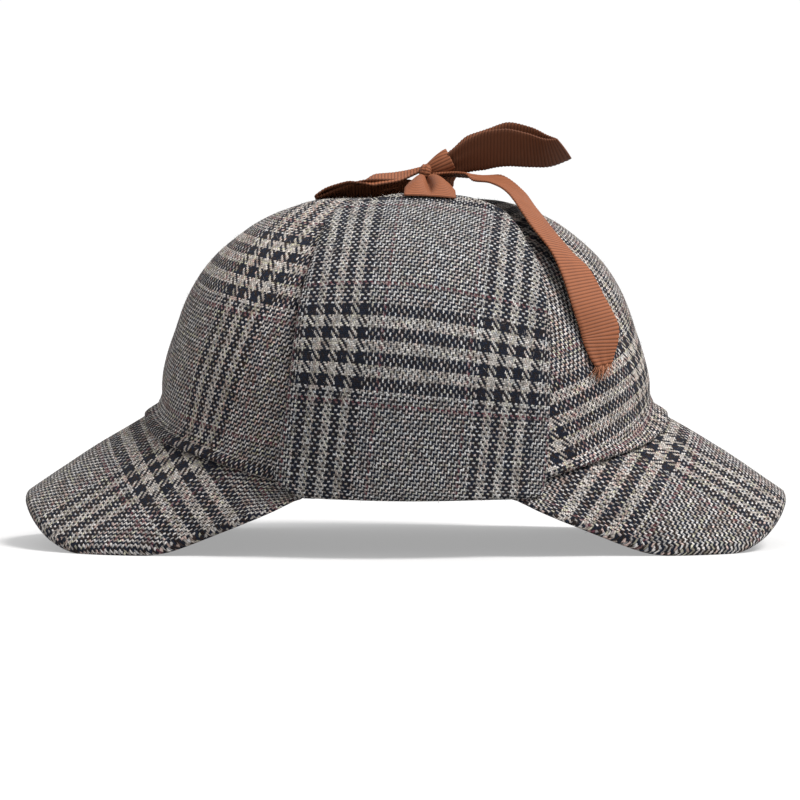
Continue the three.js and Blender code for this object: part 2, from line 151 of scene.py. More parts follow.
frontLoopTable = table(
    "along depth rise wide lean slant",
    (0.05, 0, 0, 0.36, 76, 0), (0.25, 0.1, -0.2, 0.8, 72, 0), (0.45, 0.22, -0.28, 0.97, 72, 0),
    (0.57, 0.32, -0.35, 1, 86, 0), (0.7, 0.42, -0.44, 1, 100, 0), (0.88, 0.58, -0.62, 1, 103, 0),
    (0.975, 0.66, -0.76, 1, 97, 0), (0.9, 0.7, -0.72, 1, 100, 0), (0.7, 0.62, -0.58, 1, 112, 0),
    (0.5, 0.5, -0.5, 0.97, 118, 0), (0.25, 0.3, -0.46, 0.8, 118, 0), (0.05, -0.02, -0.36, 0.36, 100, 0),
)

crownCentre = Vector((0, 0, hat["crownWaist"]))
knotCentre = Vector((hat["knotX"], 0, hat["crownTop"] + hat["knotRise"]))
sideShare = math.cos(2 * math.pi / hat["goreCount"]) ** 2


def mix(low, high, share):
    return low + (high - low) * share


def clamp(value, low=0.0, high=1.0):
    return min(max(value, low), high)


def smoothColumn(rows, key, column):  # a table's column as a smooth curve, level at both ends
    def slope(i):
        if i in (0, len(rows) - 1):
            return 0.0
        return (rows[i + 1][column] - rows[i - 1][column]) / (rows[i + 1][key] - rows[i - 1][key])

    slopes = [slope(i) for i in range(len(rows))]

    def read(at):
        i = 0
        while i < len(rows) - 2 and at > rows[i + 1][key]:
            i += 1
        low, high = rows[i], rows[i + 1]
        span = high[key] - low[key]
        t = clamp((at - low[key]) / span)
        pull = t * (1 - t) * ((1 - t) * slopes[i] - t * slopes[i + 1]) * span
        return mix(low[column], high[column], t * t * (3 - 2 * t)) + pull

    return read


lengthFullness = smoothColumn(crownFullness, "turn", "length")
widthFullness = smoothColumn(crownFullness, "turn", "width")
hemShare = smoothColumn(hemTable, "bearing", "height")
rimReach = smoothColumn(rimTable, "bearing", "reach")
rimSpread = smoothColumn(rimTable, "bearing", "spread")
rimFoot = smoothColumn(rimTable, "bearing", "foot")
flapFront = smoothColumn(flapTable, "rise", "front")
flapBack = smoothColumn(flapTable, "rise", "back")


def outlineRadius(turn, half, fullness):
    if turn <= 0:
        return half / math.cos(turn)
    flat = math.cos(turn) / half
    tall = math.sin(turn) / (hat["crownTop"] - hat["crownWaist"])
    return (flat**fullness + tall**fullness) ** (-1 / fullness)


def skinRadius(direction):
    turn = math.atan2(direction.z, math.hypot(direction.x, direction.y))
    bearing = math.atan2(direction.y, direction.x)
    degrees = math.degrees(max(turn, 0))
    lengthwise = outlineRadius(turn, hat["crownHalfLength"], lengthFullness(degrees))
    crosswise = outlineRadius(turn, hat["crownHalfWidth"], widthFullness(degrees))
    inverse = math.hypot(math.cos(bearing) / lengthwise, math.sin(bearing) / crosswise)
    swell = math.sin(bearing * hat["goreCount"] / 2) ** 2 * math.cos(turn) * hat["gorePuff"]
    return 1 / inverse + swell


def towards(bearing, turn):
    level = math.cos(turn)
    return Vector((level * math.cos(bearing), level * math.sin(bearing), math.sin(turn)))


def skinPoint(direction):
    return direction * skinRadius(direction) + crownCentre


def skinNormal(direction, step=0.01):
    side = Vector((-direction.y, direction.x, 0))
    if side.length < 1e-6:
        return Vector((0, 0, 1))
    side.normalize()
    rise = direction.cross(side)

    def slope(way):
        ahead, behind = (direction + way * step).normalized(), (direction - way * step).normalized()
        return skinPoint(ahead) - skinPoint(behind)

    normal = slope(side).cross(slope(rise)).normalized()
    return -normal if normal.dot(direction) < 0 else normal


def hemHeight(bearing):
    fromEnd = math.degrees(math.acos(min(abs(math.cos(bearing)), 1)))
    return hat["frontHem"] * hemShare(fromEnd)


def hemTurn(bearing):
    level = Vector((math.cos(bearing), math.sin(bearing), 0))
    return math.atan2(hemHeight(bearing) - hat["crownWaist"], skinRadius(level))


def crownPoint(bearing, turn, inset):  # a point of the crown with its flared lip
    direction = towards(bearing, turn)
    point = skinPoint(direction) - skinNormal(direction) * inset
    above = max(point.z - hemHeight(bearing), 0)
    near = max(1 - above / hat["lipHeight"], 0)
    facing = max((math.cos(bearing) ** 2 - sideShare) / (1 - sideShare), 0)
    flare = hat["lipFlare"] * facing**1.5 * near * near
    return point + Vector((math.cos(bearing), math.sin(bearing), 0)) * flare


# Shader tools: an expression on values adds its Math nodes
class Value:
    def __init__(self, look, socket):
        self.look, self.socket = look, socket

    def __add__(self, other):
        return self.look.sum("ADD", self, other)

    def __radd__(self, other):
        return self.look.sum("ADD", other, self)

    def __sub__(self, other):
        return self.look.sum("SUBTRACT", self, other)

    def __rsub__(self, other):
        return self.look.sum("SUBTRACT", other, self)

    def __mul__(self, other):
        return self.look.sum("MULTIPLY", self, other)

    def __rmul__(self, other):
        return self.look.sum("MULTIPLY", other, self)

    def __truediv__(self, other):
        return self.look.sum("DIVIDE", self, other)

    def __mod__(self, other):
        return self.look.sum("FLOORED_MODULO", self, other)

    def __lt__(self, other):
        return self.look.sum("LESS_THAN", self, other)

    def __gt__(self, other):
        return self.look.sum("GREATER_THAN", self, other)

    def whole(self):
        return self.look.sum("FLOOR", self)

    def sine(self):
        return self.look.sum("SINE", self)

    def size(self):
        return self.look.sum("ABSOLUTE", self)

    def power(self, other):
        return self.look.sum("POWER", self, other)


class Look:
    def __init__(self, name):
        self.material = bpy.data.materials.new(name)
        self.material.use_nodes = True
        self.tree = self.material.node_tree
        self.tree.nodes.clear()
        self.shader = self.node("ShaderNodeBsdfPrincipled")
        output = self.node("ShaderNodeOutputMaterial")
        self.tree.links.new(self.shader.outputs[0], output.inputs["Surface"])

    def node(self, kind, settings=None, **values):
        made = self.tree.nodes.new(kind)
        for key, value in (settings or {}).items():
            setattr(made, key, value)
        for key, value in values.items():
            self.feed(made.inputs[int(key[1:]) if key[0] == "_" else key.replace("_", " ")], value)
        return made

    def feed(self, socket, value):
        if isinstance(value, Value):
            value = value.socket
        if isinstance(value, bpy.types.NodeSocket):
            self.tree.links.new(value, socket)
        else:
            socket.default_value = value

    def sum(self, operation, *values):
        made = self.node("ShaderNodeMath", {"operation": operation})
        for socket, value in zip(made.inputs, values):
            self.feed(socket, value)
        return Value(self, made.outputs[0])

    def colour(self, share, low, high, blend="MIX"):
        made = self.node("ShaderNodeMix", {"data_type": "RGBA", "blend_type": blend, "clamp_factor": True})
        self.feed(made.inputs[0], share)
        for socket, value in ((made.inputs[6], low), (made.inputs[7], high)):
            self.feed(socket, (*value, 1) if isinstance(value, tuple) and len(value) == 3 else value)
        return made.outputs[2]

    def place(self, x, y, z=0.0):
        return self.node("ShaderNodeCombineXYZ", _0=x, _1=y, _2=z).outputs[0]

    def grain(self, place, scale, detail=2.0, rough=0.5):
        made = self.node("ShaderNodeTexNoise", Vector=place, Scale=scale, Detail=detail, Roughness=rough)
        return Value(self, made.outputs["Fac"])

    def uv(self):
        parts = self.node("ShaderNodeSeparateXYZ", _0=self.node("ShaderNodeTexCoord").outputs["UV"])
        return Value(self, parts.outputs[0]), Value(self, parts.outputs[1])

    def finish(self, colour, roughness, height, depth, strength, **fixed):
        bump = self.node("ShaderNodeBump", Strength=strength, Distance=depth * millimetre, Height=height)
        self.feed(self.shader.inputs["Base Color"], colour)
        self.feed(self.shader.inputs["Roughness"], roughness)
        self.feed(self.shader.inputs["Normal"], bump.outputs[0])
        for key, value in fixed.items():
            self.shader.inputs[key.replace("_", " ")].default_value = value
        return self.material


# The cloth: threads are counted along the warp and the weft, and the check repeats.
# The Above and Below values say how few threads take each of the odd yarns
tweed = dict(
    warpPitch=0.5133,
    weftPitch=0.7333,
    repeat=120,
    broadThreads=42,
    broadGroup=12,
    lastFine=119,
    redThreads=(52.5, 112.5),
    redReach=0.7,
    redShare=0.6,
    lightYarn=(0.35, 0.336, 0.318),
    greyYarn=(0.345, 0.347, 0.348),
    warmYarn=(0.335, 0.278, 0.24),
    mossYarn=(0.27, 0.27, 0.15),
    roseYarn=(0.29, 0.19, 0.165),
    blueYarn=(0.17, 0.20, 0.24),
    umberYarn=(0.15, 0.12, 0.10),
    darkYarn=(0.004, 0.007, 0.016),
    brownYarn=(0.017, 0.010, 0.008),
    redYarn=(0.10, 0.03, 0.038),
    fluffColour=(0.16, 0.14, 0.12),
    stretchThreads=11.0,
    mossAbove=0.88,
    roseBelow=0.16,
    blueAbove=0.6,
    umberAbove=0.86,
    brownAbove=0.54,
    wander=0.6,
    ragged=1.5,
    raggedGrain=1.1,
    uneven=0.82,
    paintedValleyShade=0.16,
    fluff=0.07,
    roundness=0.6,
    floatRoundness=0.45,
    threadRelief=0.2,
    roughness=0.86,
)


def tweedLook(name, shade, warmth):
    look = Look(name)
    warp, weft = look.uv()

    # The threads wander, and their edges are ragged
    sway = look.grain(look.place(warp * 0.05, weft * 0.05), 1.0)
    warp = warp + (look.grain(look.place(warp * 0.25, weft * 0.08, 4.0), 1.0) - 0.5) * tweed["wander"]
    weft = weft + (look.grain(look.place(warp * 0.08, weft * 0.25, 9.0), 1.0) - 0.5) * tweed["wander"]
    fine, ragged = tweed["raggedGrain"], tweed["ragged"]
    warp = warp + (look.grain(look.place(warp * fine, weft * fine, 31.0), 1.0, 1.0) - 0.5) * ragged
    weft = weft + (look.grain(look.place(warp * fine, weft * fine, 57.0), 1.0, 1.0) - 0.5) * ragged * 0.8
    warpIndex, weftIndex = warp.whole(), weft.whole()
    acrossWarp, acrossWeft = warp - warpIndex, weft - weftIndex

    def stripes(index):  # the check: dark, red and broad threads
        inRepeat = index % tweed["repeat"]
        broad = inRepeat < tweed["broadThreads"] - 0.5
        broadDark = (inRepeat % tweed["broadGroup"]) < tweed["broadGroup"] / 2 - 0.5
        fineDark = ((inRepeat % 2) > 0.5) * (inRepeat < tweed["lastFine"] - 0.5)
        dark = broad * broadDark + (1 - broad) * fineDark
        first, second = ((inRepeat - place).size() < tweed["redReach"] for place in tweed["redThreads"])
        return dark, first + second, broad

    floatIndex = ((warpIndex + weftIndex) / 4).whole()
    zone = look.grain(look.place(warp * 0.1, weft * 0.13, 40.0), 1.0, 2.0)

    def chance(x, y, z):  # an even chance for each float of a thread
        made = look.node("ShaderNodeTexWhiteNoise", {"noise_dimensions": "3D"}, Vector=look.place(x, y, z))
        return Value(look, made.outputs["Value"])

    def yarn(index, along, seed):  # the colour of one thread, with odd stretches of other yarns
        dark, red, broad = stripes(index)
        patch = look.grain(look.place(index * 7.31, along * 0.16, seed), 1.0, 1.0)
        light = look.colour(broad, tweed["greyYarn"], tweed["lightYarn"])
        light = look.colour(warmth * (0.3 + 1.1 * zone), light, tweed["warmYarn"])
        stretch = chance(index, (along / tweed["stretchThreads"] + patch * 3.0).whole(), seed + 1.0)
        light = look.colour((stretch > tweed["mossAbove"]) * (0.25 + warmth * 0.6), light, tweed["mossYarn"])
        light = look.colour((stretch < tweed["roseBelow"]) * (0.3 + warmth), light, tweed["roseYarn"])
        light = look.colour((patch > tweed["blueAbove"]) * 0.4, light, tweed["blueYarn"])
        light = look.colour((zone - 0.52) * 2.4, light, tweed["umberYarn"])
        odd = chance(index, floatIndex, seed) > tweed["umberAbove"]
        light = look.colour(odd * 0.5, light, tweed["umberYarn"])
        brown = (patch > tweed["brownAbove"]) * (0.5 + warmth)
        deep = look.colour(brown, tweed["darkYarn"], tweed["brownYarn"])
        return look.colour(red * tweed["redShare"], look.colour(dark, light, deep), tweed["redYarn"])

    # Two over and two under: each thread passes over two others, then dips under two
    phase = (warpIndex + weftIndex) % 4
    warpOnTop = phase < 1.5
    alongWarp = (phase + acrossWeft) / 2
    alongWeft = (phase - 2 + acrossWarp) / 2

    def hump(across, along):
        crest = (across * math.pi).sine().power(tweed["roundness"])
        rise = (along * math.pi).sine().size().power(tweed["floatRoundness"])
        return crest * rise

    height = warpOnTop * hump(acrossWarp, alongWarp) + (1 - warpOnTop) * hump(acrossWeft, alongWeft)
    fibres = look.grain(look.place(warp * 3.1, weft * 4.3), 2.0, 3.0, 0.65)
    blotch = look.grain(look.place(warp * 0.45, weft * 0.6, 2.0), 1.0, 2.0)
    colour = look.colour(warpOnTop, yarn(weftIndex, warp, 3.0), yarn(warpIndex, weft, 17.0))
    luck = warpOnTop * chance(warpIndex, floatIndex, 5.0)
    luck = luck + (1 - warpOnTop) * chance(weftIndex, floatIndex, 8.0)
    # The colour is darkened where the threads dip low: painted shade in the valleys between threads, with
    # random fibre tone over it
    level = (tweed["paintedValleyShade"] + (1 - tweed["paintedValleyShade"]) * height) * (0.55 + 0.9 * fibres)
    # shade scales the whole piece's colour: painted light above 1 and painted shade below 1
    level = level * (0.8 + 0.4 * blotch) * shade * (1 - tweed["uneven"] / 2 + tweed["uneven"] * luck)
    tone = look.node("ShaderNodeCombineColor", _0=level, _1=level, _2=level).outputs[0]
    colour = look.colour(1.0, colour, tone, "MULTIPLY")
    colour = look.colour(fibres.power(2.0) * tweed["fluff"], colour, tweed["fluffColour"])
    return look.finish(
        colour, tweed["roughness"] + 0.12 * fibres, height * 0.8 + fibres * 0.4 + sway * 0.2,
        tweed["threadRelief"], 0.9, Specular_IOR_Level=0.07, Sheen_Weight=0.02, Sheen_Roughness=0.5,
    )


# The ribbon's finish: ribs with painted shade coloured into the grooves between them, with fine warp threads,
# wear and fibres over them
ribbonFinish = dict(
    rust=(0.205, 0.072, 0.033),
    # shade is the painted shade colour of the grooves between the ribs
    shade=(0.045, 0.014, 0.007),
    ribRoundness=0.55,
    ribShare=0.78,
    threadPitch=0.28,
    threadShare=0.1,
    wearShare=0.3,
    fibreShare=0.14,
    darker=0.28,
    middleTone=0.6,
    relief=0.12,
)


def ribbonLook(name, paintedShadeFactor, contrast=1.0):
    look = Look(name)
    across, along = look.uv()
    rib = (along * (math.pi / hat["ribPitch"])).sine().size().power(ribbonFinish["ribRoundness"])
    warpThreads = (across * (math.pi / ribbonFinish["threadPitch"])).sine().size()
    wear = look.grain(look.place(across * 0.25, along * 0.09), 1.0, 3.0)
    fibres = look.grain(look.place(across * 4.0, along * 2.0), 2.0, 2.0)
    # The grooves between the ribs are coloured toward the shade colour: painted shade
    tone = rib * ribbonFinish["ribShare"] + warpThreads * ribbonFinish["threadShare"]
    tone = tone + wear * ribbonFinish["wearShare"] + fibres * ribbonFinish["fibreShare"]
    middle = ribbonFinish["middleTone"]
    tone = middle + (tone - ribbonFinish["darker"] - middle) * contrast
    # paintedShadeFactor darkens the ribbon's colours, and a lower contrast flattens the ribs: painted shade
    # for the ribbons' backs and the bow loops
    rust = tuple(c * paintedShadeFactor for c in ribbonFinish["rust"])
    shade = tuple(c * paintedShadeFactor for c in ribbonFinish["shade"])
    return look.finish(
        look.colour(tone, shade, rust), 0.5 + 0.25 * wear, rib + warpThreads * 0.15 + fibres * 0.1,
        ribbonFinish["relief"], 0.9, Specular_IOR_Level=0.1,
    )


def threadLook(name, colour):
    look = Look(name)
    across, along = look.uv()
    twist = (across * 6.0 + along * 14.0).sine() * 0.5 + 0.5
    tone = look.colour(twist, tuple(c * 0.55 for c in colour), colour)
    return look.finish(tone, 0.6 + 0.2 * twist, twist, 0.05, 0.6, Specular_IOR_Level=0.25)


# The wool looks differ in brightness by their shade number, which is painted light and shade: the crown
# lighter, the flap, peaks and inside darker
looks = dict(
    crown=tweedLook("checkedWoolCrown", 1.09, 0.45),
    flap=tweedLook("checkedWoolFlap", 0.88, 0.08),
    peak=tweedLook("checkedWoolPeak", 0.93, 0.35),
    inside=tweedLook("checkedWoolInsidePaintedShade", 0.8, 0.3),
    ribbon=ribbonLook("rustGrosgrain", 1.0),
    # The back and the bow-loop copies of the ribbon are darker copies of the same ribbon: painted shade
    ribbonBackPaintedShade=ribbonLook("rustGrosgrainBackPaintedShade", 0.72),
    ribbonPaintedShade=ribbonLook("rustGrosgrainPaintedShade", 0.5, 0.55),
    thread=threadLook("navyThread", (0.02, 0.02, 0.035)),
    fray=threadLook("looseYarn", (0.33, 0.13, 0.065)),
    paleHair=threadLook("paleHair", (0.34, 0.31, 0.28)),
    darkHair=threadLook("darkHair", (0.03, 0.03, 0.04)),
)
print("materials made")


# One piece from points in millimetres, faces, and each point's place in the cloth
def meshPiece(name, points, faces, coords, look, nodes, marks=None):
    mesh = bpy.data.meshes.new(name)
    mesh.from_pydata([p * millimetre for p in points], [], faces)
    layer = mesh.uv_layers.new(name="cloth")
    for loop in mesh.loops:
        layer.data[loop.index].uv = coords[loop.vertex_index]
    mesh.polygons.foreach_set("use_smooth", [True] * len(mesh.polygons))
    materials = look if isinstance(look, list) else [look]
    for one in materials:
        mesh.materials.append(one)
    if marks:
        mesh.polygons.foreach_set("material_index", marks)
    mesh.update()
    piece = bpy.data.objects.new(name, mesh)
    bpy.context.collection.objects.link(piece)
    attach(piece, "root")
    if nodes:
        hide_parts(*nodes)
    return piece


# A closed wall between an outer and an inner grid, its rim rounded by bulge
def wallPiece(name, outer, inner, coords, look, nodes, bulge, steps=3, under=None):
    rows, columns = len(outer), len(outer[0])
    points = [p for row in outer for p in row] + [p for row in inner for p in row]
    places = [c for row in coords for c in row] * 2
    half = rows * columns
    faces = []

    def at(i, j):
        return i * columns + j

    for i in range(rows - 1):
        for j in range(columns - 1):
            a, b, c, d = at(i, j), at(i, j + 1), at(i + 1, j + 1), at(i + 1, j)
            faces.append((a, b, c, d))
            faces.append((d + half, c + half, b + half, a + half))
    inside = [k % 2 for k in range(len(faces))]
    loop = [(0, j, 1, j) for j in range(columns)] + [(i, columns - 1, i, columns - 2) for i in range(1, rows)]
    loop += [(rows - 1, j, rows - 2, j) for j in range(columns - 2, -1, -1)]
    loop += [(i, 0, i, 1) for i in range(rows - 2, 0, -1)]
    strips = []
    for i, j, innerI, innerJ in loop:
        top, bottom = points[at(i, j)], points[at(i, j) + half]
        away = top - points[at(innerI, innerJ)]
        middle, radius = (top + bottom) / 2, (top - bottom).length / 2
        here, near = Vector(coords[i][j]), Vector(coords[innerI][innerJ])
        onward = (here - near) / max(away.length, 0.2)
        away = away.normalized() * radius * bulge
        chain = [at(i, j)]
        for k in range(1, steps):
            angle = math.pi * k / steps
            points.append(middle + (top - middle) * math.cos(angle) + away * math.sin(angle))
            places.append(tuple(here + onward * (radius * angle * (0.4 + 0.6 * bulge))))
            chain.append(len(points) - 1)
        strips.append([*chain, at(i, j) + half])
    for k, strip in enumerate(strips):
        after = strips[(k + 1) % len(strips)]
        for m in range(steps):
            faces.append((strip[m], strip[m + 1], after[m + 1], after[m]))
            inside.append(0)
    i, j = rows // 2, columns // 2
    if (outer[i][j] - inner[i][j]).dot(faceNormal(points, faces[(i * (columns - 1) + j) * 2])) < 0:
        faces = [tuple(reversed(face)) for face in faces]
    if under is None:
        return meshPiece(name, points, faces, places, look, nodes)
    return meshPiece(name, points, faces, places, [look, under], nodes, inside)


def faceNormal(points, face):
    a, b, c = (points[k] for k in face[:3])
    return (b - a).cross(c - a)


# Crown: how the cloth lies on each gore, as a start in threads and shares of the way across and up
gores = dict(
    columns=44,
    rows=84,
    seamDepth=0.75,
    seamWidth=1.5,
    dentHeight=0.7,
    dentSize=34.0,
    seamGap=0.12,
    hemRoll=2.0,
    hemRollHeight=1.6,
    hemBulge=0.95,
    hemBulgeHeight=2.1,
    hemBulgeWidth=1.7,
    hemGroove=0.4,
    hemGrooveHeight=4.7,
    hemGrooveWidth=0.7,
    rim=0.15,
    hemRows=18,
    hemRowsHeight=6.5,
    apexRadius=1.0,
    warpLay=dict(
        back_far=(40, 0.88, -0.415, 0),
        side_far=(40, 1, 0, 0),
        front_far=(21, 0.95, 0.53, -0.0044),
        front_near=(21.2, 0.95, -0.53, 0.0044),
        side_near=(50, 1, 0, 0),
        back_near=(79.8, 0.88, 0.415, 0),
    ),
    weftLay=dict(
        back_far=(-13.5, 0.39, 0.98),
        side_far=(2, 0, 1),
        front_far=(-85.8, -0.23, 0.985),
        front_near=(-85.8, 0.23, 0.985),
        side_near=(6, 0, 1),
        back_near=(-13.5, -0.39, 0.98),
    ),
)


def dented(point, normal):
    spot = point / gores["dentSize"]
    wave = noise.noise(spot) + 0.45 * noise.noise(spot * 2.3 + normal * 0.1)
    return point + normal * wave * gores["dentHeight"]


def makeGore(index, name):
    first = index * 2 * math.pi / hat["goreCount"]
    spread = 2 * math.pi / hat["goreCount"]
    topTurn = math.pi / 2 - gores["apexRadius"] / (hat["crownTop"] - hat["crownWaist"])
    hemReach = hat["crownHalfLength"]
    warpStart, warpAcross, warpUp, warpBend = gores["warpLay"][name]
    weftStart, weftAcross, weftUp = gores["weftLay"][name]
    outer, inner, coords = [], [], []
    climbs = [0.0] * (gores["columns"] + 1)
    before = None
    for row in range(gores["rows"] + 1):
        outerRow, innerRow, coordRow = [], [], []
        for column in range(gores["columns"] + 1):
            across = column / gores["columns"]
            bearing = first + spread * across
            start = hemTurn(bearing)
            low = start + gores["hemRowsHeight"] * min(row / gores["hemRows"], 1) / hemReach
            upper = max(row - gores["hemRows"], 0) / (gores["rows"] - gores["hemRows"])
            turn = low + (topTurn - low) * upper
            girth = skinRadius(towards(bearing, turn)) * math.cos(turn)
            trim = gores["seamGap"] / 2 / girth * (1 - 2 * across)
            fromSeam = girth * spread * min(across, 1 - across)
            roll = gores["seamDepth"] * math.exp(-((fromSeam / gores["seamWidth"]) ** 2))
            above = (turn - start) * hemReach
            fromHem = clamp(1 - above / gores["hemRollHeight"])
            roll = max(roll, gores["hemRoll"] * (1 - math.sqrt(1 - fromHem * fromHem)))
            facing = clamp((math.cos(bearing) ** 2 - sideShare) / (1 - sideShare) * 3)
            bulge = math.exp(-(((above - gores["hemBulgeHeight"]) / gores["hemBulgeWidth"]) ** 2))
            groove = math.exp(-(((above - gores["hemGrooveHeight"]) / gores["hemGrooveWidth"]) ** 2))
            roll -= facing * gores["hemBulge"] * bulge
            roll += facing * gores["hemGroove"] * groove
            normal = skinNormal(towards(bearing, turn))
            point = dented(crownPoint(bearing + trim, turn, roll), normal)
            outerRow.append(point)
            innerRow.append(dented(crownPoint(bearing + trim, turn, hat["clothWall"]), normal))
            if before:
                climbs[column] += (point - before[column]).length
            side = girth * spread * (across - 0.5)
            climb = climbs[column] + hemHeight(bearing) - hemHeight(first + spread / 2)
            coordRow.append((
                warpStart + (side * warpAcross + climb * (warpUp + climb * warpBend)) / tweed["warpPitch"],
                weftStart + (side * weftAcross + climb * weftUp) / tweed["weftPitch"],
            ))
        outer.append(outerRow)
        inner.append(innerRow)
        coords.append(coordRow)
        before = outerRow
    # The gores' inner faces take the darker inside wool: painted shade
    wallPiece(f"gore_{name}", outer, inner, coords, looks["crown"], [f"crown_gore_{name}"], gores["rim"],
              under=looks["inside"])


for index, goreName in enumerate(gores["warpLay"]):  # they go round from the back, far side first
    makeGore(index, goreName)
print("crown gores made")


# Peaks: the cloth's warp runs out along the slope, and the thickness tapers at both ends
peaks = dict(
    columns=120,
    steps=46,
    rimInset=1.7,
    footInset=0.3,
    slope=38.0,
    seamInset=1.3,
    seamDrop=0.7,
    tuck=1.1,
    swell=0.8,
    wave=0.7,
    waveSize=30.0,
    taper=9.0,
    thinnest=0.35,
    edge=0.85,
    runFrom=59.0,
    front=dict(warpStart=-62.6, warpEase=0.8, weftStart=8.8),
    back=dict(warpStart=67.3, warpEase=0.71, weftStart=1.5),
)


def peakColumn(facing, share):  # one line of points out along the top, and one below it
    angle = hat["peakEnd"] * share
    bearing, end = facing + math.radians(angle), abs(angle)
    hem = hemTurn(bearing)
    height = hemHeight(bearing) - peaks["seamDrop"]
    fromEnd = hat["peakEnd"] - end
    thick = hat["peakThickness"] * clamp(fromEnd / peaks["taper"], peaks["thinnest"])
    inner = crownPoint(bearing, hem, hat["clothWall"])
    seam = crownPoint(bearing, hem, peaks["seamInset"])
    inner.z, seam.z = height + peaks["tuck"], height
    outward = Vector((math.cos(facing) * rimReach(end) * hat["peakReach"],
                      math.copysign(rimSpread(end) * hat["crownHalfWidth"], seam.y), 0))
    foot = max(rimFoot(end), 0) * hat["frontHem"]
    away = outward.normalized()
    rim = seam + outward - away * peaks["rimInset"]
    rim.z = foot + thick
    low = rim - away * peaks["footInset"]
    low.z = foot
    top, bottom = [inner], [Vector((inner.x, inner.y, height - thick))]
    swell = peaks["swell"] * clamp(fromEnd / 4, 0.3)
    for step in range(peaks["steps"] + 1):
        out = step / peaks["steps"]
        upper = seam.lerp(rim, out)
        upper.z = mix(height, rim.z, out) + swell * math.sin(math.pi * out)
        wave = noise.noise(upper / peaks["waveSize"]) * peaks["wave"] * min(out * 3, (1 - out) * 3, 1)
        upper.z += wave
        lower = bottom[0].lerp(low, out)
        lower.z = max(lower.z + wave, 0)
        top.append(upper)
        bottom.append(lower)
    return top, bottom


def makePeak(name, facing, lay):
    columns = peaks["columns"]
    sides = [peakColumn(facing, 2 * column / columns - 1) for column in range(columns + 1)]
    top, bottom = [side[0] for side in sides], [side[1] for side in sides]
    rise, level = math.sin(math.radians(peaks["slope"])), math.cos(math.radians(peaks["slope"]))
    coords = [[None] * len(top[0]) for _ in top]
    for direction in (1, -1):  # threads are counted both ways from the middle
        arcs = [0.0] * len(top[0])
        column = columns // 2
        while 0 <= column <= columns:
            for k, point in enumerate(top[column]):
                if column != columns // 2:
                    last = top[column - direction][k]
                    lastHeight = abs(last.x) * rise + last.z * level
                    step = math.hypot(point.y - last.y, abs(point.x) * rise + point.z * level - lastHeight)
                    arcs[k] += step * direction
                run = abs(point.x) * level - point.z * rise
                coords[column][k] = (lay["warpStart"] + arcs[k] * lay["warpEase"] / tweed["warpPitch"],
                                     lay["weftStart"] - (run - peaks["runFrom"]) / tweed["weftPitch"])
            column += direction
    node = name.replace("Cloth", "_peak")
    wallPiece(name, top, bottom, coords, looks["peak"], [node], peaks["edge"], 6)


makePeak("frontCloth", math.pi, peaks["front"])
makePeak("backCloth", 0.0, peaks["back"])
print("peaks made")


# Ear flaps: pads with pressed edges, a row of stitches inside the edge, and cloth turned a little
flaps = dict(
    columns=90,
    rows=130,
    crowding=0.06,
    edgeSoft=3.2,
    edgeShare=0.62,
    edge=0.6,
    stitchInset=7.3,
    stitchDip=0.35,
    stitchDipWidth=1.1,
    wave=0.45,
    waveSize=26,
    backInset=0.25,
    lean=5.6,
    warpStart=80.4,
    weftStart=-52.9,
    flatMetres=(0.104, 0.142),
    flatShare=0.8,
)


def flapDirection(x, turn, side):
    half = radius = hat["crownHalfWidth"]
    if turn < 0:
        wall = math.sqrt(1 - (x / hat["crownHalfLength"]) ** 2)
        return Vector((x, side * half * wall, half * math.tan(turn))).normalized()
    for _ in range(10):  # x stays as asked while the skin's radius is found
        direction = Vector((clamp(x / radius, -0.95, 0.95), side * math.cos(turn), math.sin(turn)))
        length = direction.length
        direction.normalize()
        radius = skinRadius(direction) / length
    return direction


def flapSurface(side):  # a function that gives each place on the flap its point, normal, x and edge distance
    def place(share, along):
        turn = math.radians(mix(hat["flapBottomTurn"], hat["flapTopTurn"], share))
        left = -flapFront(share) * hat["flapHalfWidth"]
        right = flapBack(share) * hat["flapHalfWidth"]
        x = mix(left, right, along)
        direction = flapDirection(x, turn, side)
        return skinPoint(direction), skinNormal(direction), x, min(x - left, right - x)

    return place


def flapWave(point):
    return flaps["wave"] * noise.noise(point / flaps["waveSize"] + Vector((7, 1, 3)))


